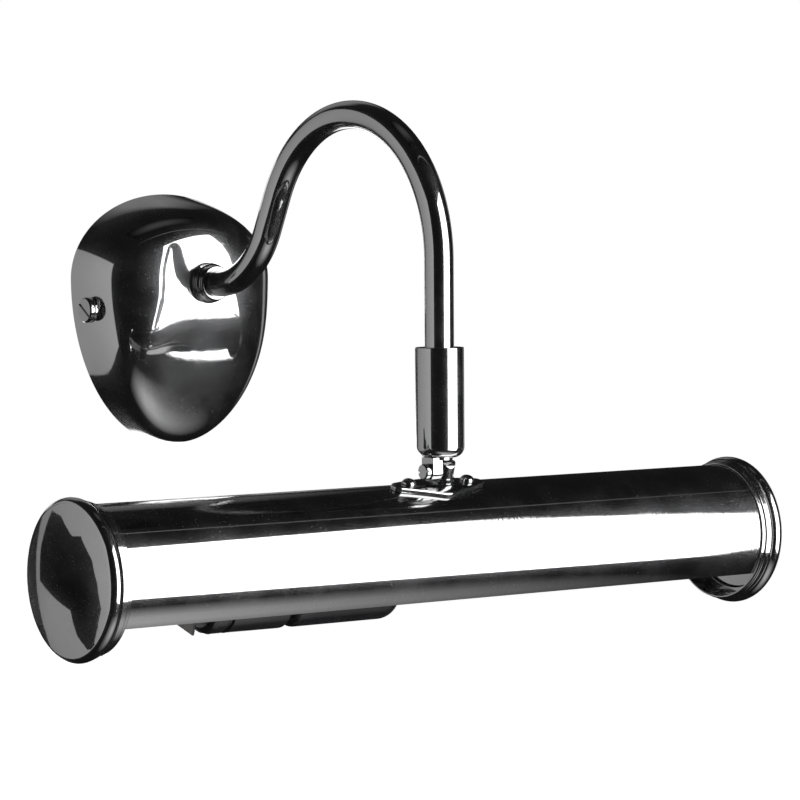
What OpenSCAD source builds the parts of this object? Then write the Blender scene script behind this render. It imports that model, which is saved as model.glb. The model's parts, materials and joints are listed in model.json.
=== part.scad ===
// Wall-mounted picture light: swan-neck arm, egg-shaped wall canopy, tilting
// tubular shade that is open along its underside, one tubular lamp inside.
// Frame: origin on the wall in the middle of the bracket's screw pattern,
// +X along the shade, +Y into the wall, +Z up.

/* [Shade] */
// Length of the shade tube between the outer faces of its two end caps
shade_length = 344; // [300:1:360]
// Outer diameter of the shade tube
shade_od = 57.6; // [56:0.2:60]
// Wall thickness of the shade tube
shade_wall = 1; // [0.8:0.1:1.2]
// Width of the opening along the underside, as an angle about the tube's axis
opening_angle = 140; // [120:1:150]
// Tilt at rest: how far the opening is turned towards the wall
rest_tilt = 17; // [0:1:25]

/* [End caps] */
// Diameter over the rolled rim of an end cap
cap_od = 64; // [63:0.5:66]
// Width of an end cap along the shade, without its dome
cap_width = 11; // [10:0.5:13]
// Height of the dome on an end cap's face
cap_dome = 4; // [3:0.5:5]

/* [Arm] */
// Outer diameter of the arm tube
arm_od = 12; // [11.6:0.1:12]
// Distance from the wall to the tilt joint's axis
arm_reach = 205; // [190:1:240]
// Height of the arm's axis at the wall, above the bracket's screws
arm_up = 11.5; // [8:0.5:14]
// Drop from the arm's axis at the wall to the tilt joint's axis
arm_drop = 75; // [70:1:90]
// Radius of the large arch, on the arm's centre line
arch_r = 60.5; // [50:0.5:62]
// Radius of the reverse bend near the wall, on the arm's centre line
bend_r = 42.5; // [35:0.5:44]
// Steepest slope of the arm, between its two bends
arm_slope = 63.5; // [55:0.5:65]
// Length of the straight piece between the two bends
slope_length = 16.5; // [10:0.5:18]

/* [Wall canopy] */
// Half of the canopy's width
canopy_half_width = 49.5; // [48:0.5:52]
// Height of the canopy above its widest line
canopy_top = 37.9; // [36:0.1:40]
// Height of the canopy below its widest line
canopy_bottom = 74.6; // [72:0.1:78]
// How far the canopy stands out from the wall
canopy_depth = 35.7; // [35:0.1:37]
// Sheet thickness of the canopy
canopy_wall = 1.2; // [1:0.1:1.5]
// Distance between the two wall screws
wall_screw_spacing = 60; // [50:1:64]
// Diameter of the two wall screw holes
wall_screw_hole = 4.5; // [4:0.1:5]

/* [Tilt joint] */
// Outer diameter of the sleeve on the end of the arm
sleeve_od = 20; // [19:0.5:22]
// Length of the sleeve
sleeve_length = 45; // [42:1:50]
// Distance from the shade's axis to the tilt joint's axis
pivot_height = 36; // [36:0.1:37]
// Diameter of the pivot screw
pivot_d = 3; // [2.8:0.1:3.2]

/* [Lamp] */
// Diameter of the tubular lamp and of its holder
lamp_d = 25; // [22:0.5:25]
// Distance from the shade's axis down to the lamp's axis
lamp_drop = 14; // [12:0.5:14.5]
// Distance from the middle of the shade to the lampholder's back face
holder_x = 106; // [100:1:110]
// Length of the lampholder in front of its back plate
holder_length = 34; // [32:1:38]
// Length of lamp glass that shows in front of the lampholder
glass_length = 57; // [45:1:60]

/* [Hidden] */
$fn = 96;

eps = 0.01;
fit = 0.05;                 // radial clearance of a running fit
chrome = "#3c3e42";
plate = "#8c8f94";

// Shade
shade_r = shade_od / 2;
shade_ri = shade_r - shade_wall;
edge_drop = shade_r * cos(opening_angle / 2);
tube_half = shade_length / 2 - 2;    // half the length of the tube itself
cap_r = cap_od / 2;
cap_wall = 1;
rim_r = 3.2;
// Tilt joint and shade placement
pivot_z = arm_up - arm_drop;
pivot_r = pivot_d / 2;
sleeve_r = sleeve_od / 2;
sleeve_z0 = pivot_z + 5.6;
sleeve_z1 = sleeve_z0 + sleeve_length;
tang_x = [-6.4, -1.8];
foot_x = 2.5;
foot_r = 3.7;
tang_r = 3.9;
plate_t = 2.1;
plate_r = shade_r + plate_t;
flange_screw_x = 15;
flange_screw_r = 1.5;
nut_t = 2.4;                // thickness of the small nuts
// Arm
arm_r = arm_od / 2;
arm_ri = arm_r - 1.6;
arch_sweep = 90 + arm_slope;
slope_dy = bend_r * sin(arm_slope) + slope_length * cos(arm_slope);
arch_dy = arch_r * (1 + sin(arm_slope));
run_end_y = -arm_reach + slope_dy + arch_dy;
arch_z = arm_up + bend_r * (1 - cos(arm_slope)) + slope_length * sin(arm_slope)
    - arch_r * cos(arm_slope);
arm_end_y = -25;
arm_washer_y = -canopy_depth + 2.4;
arm_end_z = sleeve_z1 - 16;
// Canopy
canopy_z = 13.4;            // height of the canopy's widest line
side_screw_y = -13.8;
canopy_face_y = -canopy_depth - 0.05; // where the arm's collar sits
thread_r = 5;
// Bracket
strap_t = 1.5;
strap_w = 20;
ear_x = 41.5;
ear_half_h = 8;
tongue_half_w = 17;
cable_hole_r = 6;
earth_x = 18;               // place of the earth screw, along the strap
side_screw_r = 2;
ear_depth = 17.5;
side_screw_head_x = 47.7;
block_z = -25;              // height of the terminal block
block_screw_x = 5;
poles = [-10, 0, 10];       // places of the terminal block's three poles
// Lamp
lamp_r = lamp_d / 2;
strip_half_w = 6;
strip_end_x = 22;
strip_z = sqrt(pow(shade_ri, 2) - pow(strip_half_w, 2)) - 0.1;
strip_t = 1;
leg_w = 16;
leg_gap = 8.4;              // from the lampholder's back plate to the bracket's leg
leg_x = -holder_x - leg_gap;
leg_end_z = -24;
leg_step_z = 14;            // height where the leg narrows to the strip's width
stud_r = 4;
glass_x = -holder_x + holder_length;
lead_x = 2.3;
lead_y = 4;
lead_r = 0.9;

// ---------------------------------------------------------------- helpers

// Cylinder along X from x0 to x1
module rod_x(x0, x1, r) {
    translate([x0, 0, 0]) rotate([0, 90, 0]) cylinder(h = x1 - x0, r = r);
}

// Cylinder along Y from y0 to y1
module rod_y(y0, y1, r) {
    translate([0, y0, 0]) rotate([-90, 0, 0]) cylinder(h = y1 - y0, r = r);
}

// Turned shape about the X axis: the profile's points are [radius, x]
module turned_x(profile) {
    rotate([0, 90, 0]) rotate_extrude() polygon(profile);
}

// Box from one corner to the other
module box(low, high) {
    translate(low) cube(high - low);
}

// Places shade pieces, drawn about the shade's own axis, at the rest tilt
module on_shade() {
    translate([0, -arm_reach, pivot_z]) rotate([rest_tilt, 0, 0])
        translate([0, 0, -pivot_height]) children();
}

// Hexagon nut across flats af, thickness h, bore r, along +Z
module hex_nut(af, h, r) {
    difference() {
        cylinder(h = h, r = af / 2 / cos(30), $fn = 6);
        translate([0, 0, -1]) cylinder(h = h + 2, r = r);
    }
}

// Round bar that follows the arm from the wall side down to height z_end.
// The straight stretches are a hair thinner than the bends and reach a little
// way into them, so that no two surfaces only just touch.
module arm_path(r, y_start, z_end) {
    straight_r = r - 0.02;
    lap = 0.3;
    arc_z = arm_up + bend_r;
    translate([0, 0, arm_up]) rod_y(run_end_y - lap, y_start, straight_r);
    // reverse bend, rising away from the wall
    translate([0, run_end_y, arc_z]) rotate([90, 0, -90]) rotate([0, 0, -90])
        rotate_extrude(angle = arm_slope) translate([bend_r, 0]) circle(r);
    // straight slope between the bends
    translate([0, run_end_y - bend_r * sin(arm_slope), arc_z - bend_r * cos(arm_slope)])
        rotate([90 - arm_slope, 0, 0]) translate([0, 0, -lap])
            cylinder(h = slope_length + 2 * lap, r = straight_r);
    // large arch, over the top and down
    translate([0, -arm_reach + arch_r, arch_z]) rotate([90, 0, 90])
        rotate([0, 0, 90 - arm_slope]) rotate_extrude(angle = arch_sweep)
            translate([arch_r, 0]) circle(r);
    // vertical end
    translate([0, -arm_reach, z_end]) cylinder(h = arch_z - z_end + lap, r = straight_r);
}

// Point on the canopy: a turns round its outline, lift goes from the wall (0) to the front (90)
function canopy_point(a, lift, inset) = let (
        up = sin(a) >= 0,
        across = pow(cos(a), 2),
        fullness = 2.9 * across + (up ? 3.9 : 9) * (1 - across), // 2 is round, more is boxier
        cone = 0.1 * across + (up ? 0.23 : 0) * (1 - across),
        t = pow(sin(lift), 2 / fullness),
        k = pow(cos(lift), 2 / fullness) * (1 - cone * t),
        z = ((up ? canopy_top : canopy_bottom) - inset) * sin(a) * k,
        slope = 0.525 * pow(max(0, -z / canopy_bottom), 1.5))
    [(canopy_half_width - inset) * cos(a) * k, -(canopy_depth - inset) * t * (1 - slope),
     canopy_z + z];

// Solid canopy dome: smooth convex body, flat at the wall, inset from the outside all round
module canopy_dome(inset) {
    steps = 10;
    sides = 60;
    hull() polyhedron(
        points = [for (i = [0:steps - 1]) for (j = [0:sides - 1])
            canopy_point(360 * j / sides, 88 * i / (steps - 1), inset)],
        faces = [for (i = [0:steps - 1]) [for (j = [0:sides - 1]) i * sides + j]]);
}

// ------------------------------------------------------------ wall fixings

// Steel strap against the wall; the left ear holds the side screw, the right ear the other side
module wall_bracket() color(plate) difference() {
    union() {
        box([-ear_x, -strap_t, -strap_w / 2], [ear_x, 0, strap_w / 2]);
        box([-tongue_half_w, -strap_t, block_z - 11],
            [tongue_half_w, 0, -strap_w / 2 + eps]);
        for (side = [-1, 1]) {
            translate([side * (ear_x - strap_t / 2), 0, 0])
                box([-strap_t / 2, -ear_depth, -ear_half_h], [strap_t / 2, 0, ear_half_h]);
        }
        translate([-ear_x + 2, side_screw_y, 0]) rod_x(-2, 2, 3.5);
    }
    for (side = [-1, 1])
        translate([side * wall_screw_spacing / 2, 0, 0]) rod_y(-5, 5, wall_screw_hole / 2);
    rod_y(-5, 5, cable_hole_r);
    translate([earth_x, 0, 0]) rod_y(-5, 5, 1.75);
    translate([block_screw_x, 0, block_z]) rod_y(-5, 5, 1.5);
    translate([-ear_x, side_screw_y, 0]) rod_x(-5, 5, side_screw_r + fit);
}

// Domed egg-shaped cover
module canopy() color(chrome) difference() {
    canopy_dome(0);
    translate([0, eps, 0]) canopy_dome(canopy_wall);
    translate([0, 0, arm_up]) rod_y(-canopy_depth - 5, -10, thread_r + 0.2);
    translate([-ear_x - 9, side_screw_y, 0]) rod_x(-8.5, 8.5, 2.3);
}

// Slotted screw with a grooved head, through the canopy's side into the ear
module canopy_screw() color(chrome) difference() {
    head_r = 5.65;
    head_t = 3.6;
    tip = -ear_x + 4.5;
    translate([0, side_screw_y, 0]) turned_x([[0, tip], [0, -side_screw_head_x - head_t],
        [head_r - 0.7, -side_screw_head_x - head_t], [head_r, -side_screw_head_x - 3],
        [head_r, -side_screw_head_x - 1.9], [head_r - 0.6, -side_screw_head_x - 1.6],
        [head_r - 0.6, -side_screw_head_x - 1.2], [head_r, -side_screw_head_x - 0.9],
        [head_r, -side_screw_head_x], [side_screw_r, -side_screw_head_x], [side_screw_r, tip]]);
    translate([-side_screw_head_x - head_t, side_screw_y, 0]) rotate([35, 0, 0])
        cube([2.4, 14, 1.1], center = true);
}

// Three-pole terminal block on the bracket's lower tongue
module terminal_block() color("ivory") translate([0, -strap_t, block_z]) difference() {
    union() {
        box([-15, -3, -8], [15, 0, 8]);
        for (x = poles) translate([x, 0, 0]) box([-4, -14, -8], [4, -3 + eps, 8]);
        box([-11, -9, -6], [11, -3 + eps, 6]);
    }
    for (x = poles, z = [-4.5, 4.5]) translate([x, 0, z]) rod_y(-15, -6, 1.6);
    for (x = poles) translate([x, -9.5, -10]) cylinder(h = 4, r = 1.8);
    for (x = [poles[0], poles[2]]) translate([x, -9.5, 5]) cylinder(h = 5, r = 1.8);
    translate([block_screw_x, 0, 0]) {
        rod_y(-15, 1, 1.5);
        rod_y(-15, -9, 2.1);
    }
}

module terminal_screws() color("silver") translate([0, -strap_t, block_z])
    for (x = poles, z = [-4.5, 4.5]) translate([x, 0, z]) difference() {
        rod_y(-12.5, -6.5, 1.5);
        translate([0, -12.5, 0]) cube([4, 1.2, 0.6], center = true);
    }

// Screw that holds the terminal block to the bracket
module terminal_fixing_screw() color("silver")
    translate([block_screw_x, -strap_t, block_z]) difference() {
    union() {
        rod_y(-11.2, -9.05, 1.9);
        rod_y(-9.1, 1.4, 1.4);
    }
    translate([0, -11.2, 0]) cube([5, 1.4, 0.6], center = true);
}

// Brass earth screw in the bracket
module earth_screw() color("goldenrod") translate([earth_x, 0, 0]) difference() {
    union() {
        rod_y(-7.6, -4.6, 3.4);
        rod_y(-4.7, 0, 1.7);
    }
    translate([0, -7.6, 0]) rotate([0, 20, 0]) cube([8, 1.8, 0.9], center = true);
}

// Cup washer under the earth screw
module earth_washer() color("goldenrod") translate([earth_x, 0, 0]) difference() {
    rod_y(-2.6, -strap_t - 0.02, 4.2);
    rod_y(-4, 0, 1.8);
}

// --------------------------------------------------------------------- arm

module arm_tube() color(chrome) difference() {
    union() {
        arm_path(arm_r, canopy_face_y, arm_end_z);
        translate([0, 0, arm_up]) rod_y(canopy_face_y - 1, arm_end_y, thread_r);
    }
    arm_path(arm_ri, arm_end_y + 1, arm_end_z - 1);
}

// Stepped collar where the arm meets the canopy
module arm_collar() color(chrome) translate([0, canopy_face_y, arm_up]) rotate([90, 0, 0])
    rotate_extrude() polygon([[arm_r + 0.02, 0], [9, 0], [9.2, 0.8], [9, 1.7], [8.3, 1.9],
        [8.3, 2.5], [8.7, 2.8], [8.7, 3.8], [8.2, 4.3], [7.6, 4.5], [7.6, 5.2], [7.9, 5.5],
        [7.9, 6.6], [7.4, 7.3], [arm_r + 0.02, 7.3]]);

// Flat washer inside the canopy
module arm_washer() color("silver") translate([0, 0, arm_up]) difference() {
    rod_y(arm_washer_y, arm_washer_y + 1.3, 8.5);
    rod_y(arm_washer_y - 1, arm_washer_y + 2, thread_r + 0.1);
}

// Nut that clamps the arm to the canopy
module arm_nut() color("silver") translate([0, arm_washer_y + 1.35, arm_up]) rotate([-90, 0, 0])
    hex_nut(14, 4, thread_r + 0.02);

// Flexible cable through the arm, from the terminal block to the tilt joint
module arm_cable() color("dimgray") {
    cable_r = 2.3;
    turn_r = 12;
    low_z = -16.4;
    arm_path(cable_r, arm_end_y + 0.3, sleeve_z0 + 4);
    translate([0, arm_end_y, arm_up - turn_r]) rotate([90, 0, 90])
        rotate_extrude(angle = 90) translate([turn_r, 0]) circle(cable_r);
    translate([0, arm_end_y + turn_r, low_z])
        cylinder(h = arm_up - turn_r - low_z + 0.3, r = cable_r - 0.02);
}

// Threaded bush fixed in the arm's lower end
module arm_end_bush() color("goldenrod") translate([0, -arm_reach, arm_end_z - 1]) difference() {
    union() {
        cylinder(h = 14, r = arm_ri - 0.04);
        cylinder(h = 0.98, r = arm_r);
    }
    translate([0, 0, -1]) cylinder(h = 20, r = 3.4);
}

// ------------------------------------------------------------- tilt joint

// Sleeve over the arm's end, round at the bottom
module sleeve() color(chrome) translate([0, -arm_reach, sleeve_z0]) difference() {
    round_r = 4.5;
    rotate_extrude() union() {
        translate([0, round_r]) square([sleeve_r, sleeve_length - round_r - 0.3]);
        square([sleeve_r - round_r, round_r + eps]);
        intersection() {
            translate([sleeve_r - round_r, round_r]) circle(round_r);
            square([sleeve_r, round_r + eps]);
        }
        translate([0, sleeve_length - 0.31]) square([sleeve_r - 0.3, 0.31]);
    }
    translate([0, 0, 3]) cylinder(h = sleeve_length - 15, r = 8);
    translate([0, 0, -1]) cylinder(h = sleeve_length, r = 5.25);
    translate([0, 0, 10]) cylinder(h = sleeve_length, r = arm_r + 0.03);
}

// Upper half of the joint: threaded stem, neck and flat tang
module yoke() color(chrome) translate([0, -arm_reach, pivot_z]) difference() {
    neck_z = sleeve_z0 - pivot_z;
    stem_z = arm_end_z - pivot_z;
    union() {
        intersection() {
            union() {
                translate([0, 0, neck_z - 0.9]) cylinder(h = 5, r = 5.2);
                box([tang_x[0], -tang_r, 0], [tang_x[1], tang_r, neck_z]);
            }
            translate([0, 0, -20]) cylinder(h = 60, r = 7.6);
        }
        rod_x(tang_x[0], tang_x[1], tang_r);
        translate([0, 0, neck_z + 3.02]) cylinder(h = 3, r = 7.4);
        translate([0, 0, neck_z + 3]) cylinder(h = stem_z - neck_z + 6, r = 3.35);
    }
    rod_x(-10, 10, pivot_r + fit);
    translate([0, 0, neck_z + 1]) cylinder(h = 60, r = 2.5);
}

// Slotted pivot screw: turns in the tang, screwed fast in the foot
module pivot_screw() color(chrome) on_shade() translate([0, 0, pivot_height]) difference() {
    turned_x([[0, 6], [0, -9.2], [2.9, -9.2], [3.3, -8.8], [3.3, -6.55], [pivot_r, -6.55],
        [pivot_r, 6]]);
    translate([-9.2, 0, 0]) rotate([-25, 0, 0]) cube([2.2, 8, 0.9], center = true);
}

// Spring washer between the two halves of the joint
module friction_washer() color("silver") on_shade() translate([0, 0, pivot_height]) difference() {
    rod_x(tang_x[1] + 0.12, foot_x - foot_r - 0.02, 3.4);
    rod_x(-5, 5, pivot_r + 0.1);
}

// Lower half of the joint: turned column with two rings, flat on one side
module foot() color(chrome) on_shade() difference() {
    union() {
        difference() {
            union() {
                intersection() {
                    translate([foot_x, 0, plate_r - 1]) cylinder(h = 15, r = foot_r);
                    translate([0, 0, pivot_height]) union() {
                        rod_x(-10, 10, 4.3);
                        box([-10, -10, -20], [10, 10, 0]);
                    }
                }
                translate([foot_x, 0, plate_r - 1]) cylinder(h = 1.8, r = 5);
                intersection() {
                    translate([foot_x, 0, plate_r - 1]) cylinder(h = 3.5, r = 4.4);
                    box([foot_x - foot_r, -10, 20], [20, 10, 60]);
                }
            }
            rod_x(-20, 20, plate_r + 0.02);
        }
        translate([foot_x, 0, strip_z - strip_t - 0.8]) cylinder(h = 6, r = 2.5);
    }
    translate([0, 0, pivot_height]) rod_x(-10, 20, pivot_r + 0.02);
}

// ------------------------------------------------------------------- shade

// Clearance hole for the flange screw on one side
module flange_screw_hole(side) {
    translate([side * flange_screw_x, 0, 10]) cylinder(h = 40, r = flange_screw_r + 0.1);
}

// Curved plate that joins the foot to the shade: a rhomb with round corners
module saddle_plate() color(chrome) on_shade() difference() {
    intersection() {
        rod_x(-30, 30, plate_r);
        linear_extrude(60) hull() {
            for (side = [-1, 1]) translate([side * 19.6, 0]) circle(3.4);
            circle(9);
        }
    }
    rod_x(-31, 31, shade_r + 0.02);
    for (side = [-1, 1]) flange_screw_hole(side);
    translate([foot_x, 0, 10]) cylinder(h = 40, r = 2.52);
}

// Round-head screws through the plate, the shade and the lamp bracket
module flange_screws() color(chrome) on_shade()
    for (side = [-1, 1]) translate([side * flange_screw_x, 0, 0]) difference() {
        union() {
            translate([0, 0, strip_z - 5]) cylinder(h = plate_r - strip_z + 5.4, r = flange_screw_r);
            translate([0, 0, plate_r + 0.02]) intersection() {
                cylinder(h = 2.5, r = 2.95);
                translate([0, 0, -1.1]) sphere(3.6);
            }
        }
        translate([0, 0, plate_r + 2.5]) rotate([0, 0, 30 * side])
            cube([8, 0.8, 1.8], center = true);
    }

module flange_nuts() color("silver") on_shade()
    for (side = [-1, 1]) translate([side * flange_screw_x, 0, strip_z - strip_t - nut_t - 0.02])
        hex_nut(5.5, nut_t, flange_screw_r + 0.02);

// Tube of the shade, open along its underside
module shade_tube() color(chrome) on_shade() difference() {
    rod_x(-tube_half, tube_half, shade_r);
    rod_x(-tube_half - 1, tube_half + 1, shade_ri);
    box([-tube_half - 1, -40, -40], [tube_half + 1, 40, -edge_drop]);
    for (side = [-1, 1]) flange_screw_hole(side);
    translate([foot_x, 0, 10]) cylinder(h = 40, r = 2.52);
}

// Pressed end cap at +X: domed face, rolled rim and a collar on the tube
module end_cap() {
    face = shade_length / 2;
    flat_r = cap_r - rim_r - 2.4;
    dome_r = (pow(flat_r, 2) + pow(cap_dome, 2)) / (2 * cap_dome);
    rotate([0, 90, 0]) rotate_extrude() {
        // domed face
        difference() {
            intersection() {
                translate([0, face + cap_dome - dome_r]) circle(dome_r, $fn = 360);
                translate([0, face - 1]) square([flat_r + 0.4, cap_dome + 2]);
            }
            translate([0, face + cap_dome - dome_r]) circle(dome_r - cap_wall, $fn = 360);
        }
        // step from the face to the rim
        translate([flat_r - 0.8, face - 1.6]) square([3, 1.4]);
        // rolled rim, cut back where the tube's end sits inside it
        difference() {
            translate([cap_r - rim_r, face - 3.3]) circle(rim_r);
            square([shade_r + 0.05, tube_half + 0.1]);
        }
        // band behind the rim, and the collar on the tube
        translate([shade_r + 0.05, face - cap_width + 1.4]) square([1.5, cap_width - 4]);
        translate([shade_r + 0.05, face - cap_width]) square([0.8, cap_width - 4]);
    }
}

module end_cap_right() color(chrome) on_shade() end_cap();

module end_cap_left() color(chrome) on_shade() mirror([1, 0, 0]) end_cap();

// -------------------------------------------------------------------- lamp

// Steel strip inside the shade, bent down at its end to carry the lampholder
module lamp_bracket() color(plate) on_shade() difference() {
    union() {
        box([leg_x - strip_t, -strip_half_w, strip_z - strip_t],
            [strip_end_x, strip_half_w, strip_z]);
        box([leg_x - strip_t, -leg_w / 2, leg_end_z], [leg_x, leg_w / 2, leg_step_z]);
        box([leg_x - strip_t, -strip_half_w, leg_step_z - eps], [leg_x, strip_half_w, strip_z]);
    }
    translate([0, 0, -lamp_drop]) rod_x(leg_x - 9, leg_x + 9, stud_r + 0.1);
    for (side = [-1, 1]) flange_screw_hole(side);
    translate([foot_x, 0, 10]) cylinder(h = 40, r = 2.6);
}

// Back part of the lampholder, with its threaded stud and two lead entries
module lampholder_base() color("#1c1c1e") on_shade() translate([-holder_x, 0, -lamp_drop])
    difference() {
        turned_x([[0, 5.4], [0, -leg_gap - 4.1], [stud_r, -leg_gap - 4.1], [stud_r, -3.1],
            [9.5, -3.1], [lamp_r - 0.7, -2],
            [lamp_r, 0], [lamp_r, 4.6], [lamp_r - 0.6, 5.4]]);
        for (side = [-1, 1])
            translate([lead_x, side * lead_y, 7]) cylinder(h = 20, r = lead_r + 0.1);
    }

// Front part of the lampholder: a smooth skirt round the lamp's screw cap
module lampholder_shell() color("#1c1c1e") on_shade() translate([-holder_x, 0, -lamp_drop])
    difference() {
        turned_x([[0, 5.5], [lamp_r - 1, 5.5], [lamp_r - 1, 6.6], [lamp_r, 7.4],
            [lamp_r, holder_length], [0, holder_length]]);
        rod_x(9, holder_length + 1, 7.9);
        rod_x(holder_length - 8, holder_length + 1, lamp_r - 1.6);
        rod_x(5, 10, 2.4);
    }

// Nut that holds the lampholder to the bracket
module lampholder_nut() color("silver") on_shade()
    translate([leg_x - strip_t - nut_t - 0.02, 0, -lamp_drop]) rotate([0, 90, 0])
        hex_nut(11, nut_t, stud_r + 0.02);

// Brass screw shell that takes the lamp's cap
module screw_shell() color("goldenrod") on_shade() translate([-holder_x, 0, -lamp_drop])
    difference() {
        rod_x(9.05, 25, 7.85);
        rod_x(8, 26, 7.35);
    }

// Sprung centre contact at the back of the lampholder
module centre_contact() color("goldenrod") on_shade() translate([-holder_x, 0, -lamp_drop]) {
    rod_x(5.6, 9, 2.3);
    rod_x(8.95, 10.4, 1.4);
}

// Two insulated leads from the lampholder up and along the strip to the foot
module lamp_leads() color("dimgray") on_shade() for (side = [-1, 1])
    translate([-holder_x + lead_x, side * lead_y, 0]) {
        turn = 5;
        top = strip_z - strip_t - 1.2;
        z0 = 8 - lamp_drop;
        translate([0, 0, z0]) cylinder(h = top - turn - z0 + 0.3, r = lead_r - 0.01);
        translate([turn, 0, top - turn]) rotate([90, 0, 0]) rotate([0, 0, 90])
            rotate_extrude(angle = 90) translate([turn, 0]) circle(lead_r);
        translate([0, 0, top]) rod_x(turn - 0.3, holder_x - lead_x - 4, lead_r - 0.01);
    }

// Screw cap of the lamp
module lamp_cap() color("goldenrod") on_shade() translate([-holder_x, 0, -lamp_drop])
    turned_x([[0, 10.6], [2, 10.6], [6.4, 13], [7, 14], [7, 26.5], [8.2, 28.5], [8.6, 34],
        [0, 34]]);

// Turned outline of the glass: neck, straight body and rounded end
module glass_body(neck_r, r, x0, x1, tip) {
    rotate([0, 90, 0]) rotate_extrude() {
        polygon([[0, x0], [neck_r, x0], [neck_r, 0.5], [r - 1.5, 3], [r, 6.5],
            [r, x1 - tip], [0, x1 - tip]]);
        translate([0, x1 - tip - eps]) square([r - tip, tip + eps]);
        intersection() {
            translate([r - tip, x1 - tip]) circle(tip);
            translate([0, x1 - tip - eps]) square([r, tip + 1]);
        }
    }
}

// Glass of the tubular lamp, open where the cap closes it
module lamp_glass() color("#26282b", 0.9) on_shade() translate([glass_x, 0, -lamp_drop])
    difference() {
        wall = 0.8;
        glass_body(8.4, lamp_r, 0.02, glass_length, 8);
        glass_body(7, lamp_r - wall, -1, glass_length - wall, 8 - wall);
    }

// Filament between two supports on the lamp's stem
module lamp_filament() color("silver") on_shade() translate([glass_x, 0, -lamp_drop]) {
    wire_r = 0.35;
    rod_x(0.03, 9, 2.6);
    translate([0, 0, 1.5]) rod_x(8.5, 34, wire_r);
    translate([0, 0, -1.5]) rod_x(8.5, 14, wire_r);
    translate([33.5, 0, -0.5]) cylinder(h = 2, r = wire_r);
    translate([0, 0, -0.7]) rod_x(13.5, 34, 0.6);
    translate([13.8, 0, -1.6]) cylinder(h = 1, r = wire_r);
}

wall_bracket();
canopy();
canopy_screw();
terminal_block();
terminal_screws();
terminal_fixing_screw();
earth_screw();
earth_washer();
arm_tube();
arm_collar();
arm_washer();
arm_nut();
arm_cable();
arm_end_bush();
sleeve();
yoke();
pivot_screw();
friction_washer();
foot();
saddle_plate();
flange_screws();
flange_nuts();
shade_tube();
end_cap_left();
end_cap_right();
lamp_bracket();
lampholder_base();
lampholder_shell();
lampholder_nut();
screw_shell();
centre_contact();
lamp_leads();
lamp_cap();
lamp_glass();
lamp_filament();
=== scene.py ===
import json
from math import atan2, cos, pi, radians, sin, sqrt, tan

import bmesh
import bpy
from mathutils import Matrix, Vector


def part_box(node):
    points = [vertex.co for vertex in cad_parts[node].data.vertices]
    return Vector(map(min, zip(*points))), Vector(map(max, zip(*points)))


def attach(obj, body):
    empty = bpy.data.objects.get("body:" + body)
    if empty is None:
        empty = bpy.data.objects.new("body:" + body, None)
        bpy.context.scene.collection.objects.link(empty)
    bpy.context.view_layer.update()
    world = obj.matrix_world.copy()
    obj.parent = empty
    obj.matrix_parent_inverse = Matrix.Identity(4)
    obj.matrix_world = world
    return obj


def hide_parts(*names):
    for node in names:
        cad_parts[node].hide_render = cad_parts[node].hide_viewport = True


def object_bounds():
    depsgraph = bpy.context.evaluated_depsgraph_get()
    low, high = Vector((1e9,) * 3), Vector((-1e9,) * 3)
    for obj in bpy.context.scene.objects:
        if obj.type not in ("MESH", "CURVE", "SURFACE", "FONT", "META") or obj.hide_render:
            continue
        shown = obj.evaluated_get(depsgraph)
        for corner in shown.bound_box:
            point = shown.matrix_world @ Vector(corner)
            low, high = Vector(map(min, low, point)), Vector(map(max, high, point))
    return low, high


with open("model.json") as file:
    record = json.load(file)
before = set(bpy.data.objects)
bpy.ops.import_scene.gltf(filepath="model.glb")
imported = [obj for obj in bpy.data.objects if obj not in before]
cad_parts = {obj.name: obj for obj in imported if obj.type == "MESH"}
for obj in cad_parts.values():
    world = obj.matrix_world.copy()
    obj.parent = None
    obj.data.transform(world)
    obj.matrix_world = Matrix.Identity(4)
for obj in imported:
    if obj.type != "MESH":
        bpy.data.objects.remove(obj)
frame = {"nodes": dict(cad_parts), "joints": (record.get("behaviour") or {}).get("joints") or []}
cad_low, cad_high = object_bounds()
nodes = frame["nodes"]
scene = bpy.context.scene

# ------------------------------------------------------------------ sizes
# Metres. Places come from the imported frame; these are the sizes of the details.
MM = 0.001
ROUND_STEPS = 160               # sides of a large turned piece
SMALL_STEPS = 64                # sides of a screw or a nut

pivot = Vector(frame["joints"][0]["pos_m"])
cap_low, cap_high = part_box("end_cap_right")
tube_low, tube_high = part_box("shade_tube")
shade_axis = Vector((0, (cap_low.y + cap_high.y) / 2, (cap_low.z + cap_high.z) / 2))
shade_tilt = atan2(shade_axis.y - pivot.y, pivot.z - shade_axis.z)
pivot_height = (pivot - shade_axis).length
shade_r = shade_axis.y - tube_low.y
shade_wall = 1 * MM
tube_half = tube_high.x
cap_r = (cap_high.z - cap_low.z) / 2
cap_back = cap_low.x            # inner end of the right cap's collar
cap_tip = cap_high.x            # top of the right cap's dome
ON_SHADE = Matrix.Translation(shade_axis) @ Matrix.Rotation(shade_tilt, 4, "X")

arm_low, arm_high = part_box("arm_tube")
arm_r = arm_high.x
sleeve_low, sleeve_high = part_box("sleeve")
collar_low, collar_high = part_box("arm_collar")
arm_level = (collar_low.z + collar_high.z) / 2
canopy_low, canopy_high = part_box("canopy")


# ---------------------------------------------------------------- shapes

def arc(centre, radius, start, end, steps):
    """Points along an arc in a plane; angles in degrees."""
    return [(centre[0] + radius * cos(radians(start + (end - start) * i / steps)),
             centre[1] + radius * sin(radians(start + (end - start) * i / steps)))
            for i in range(steps + 1)]


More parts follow.
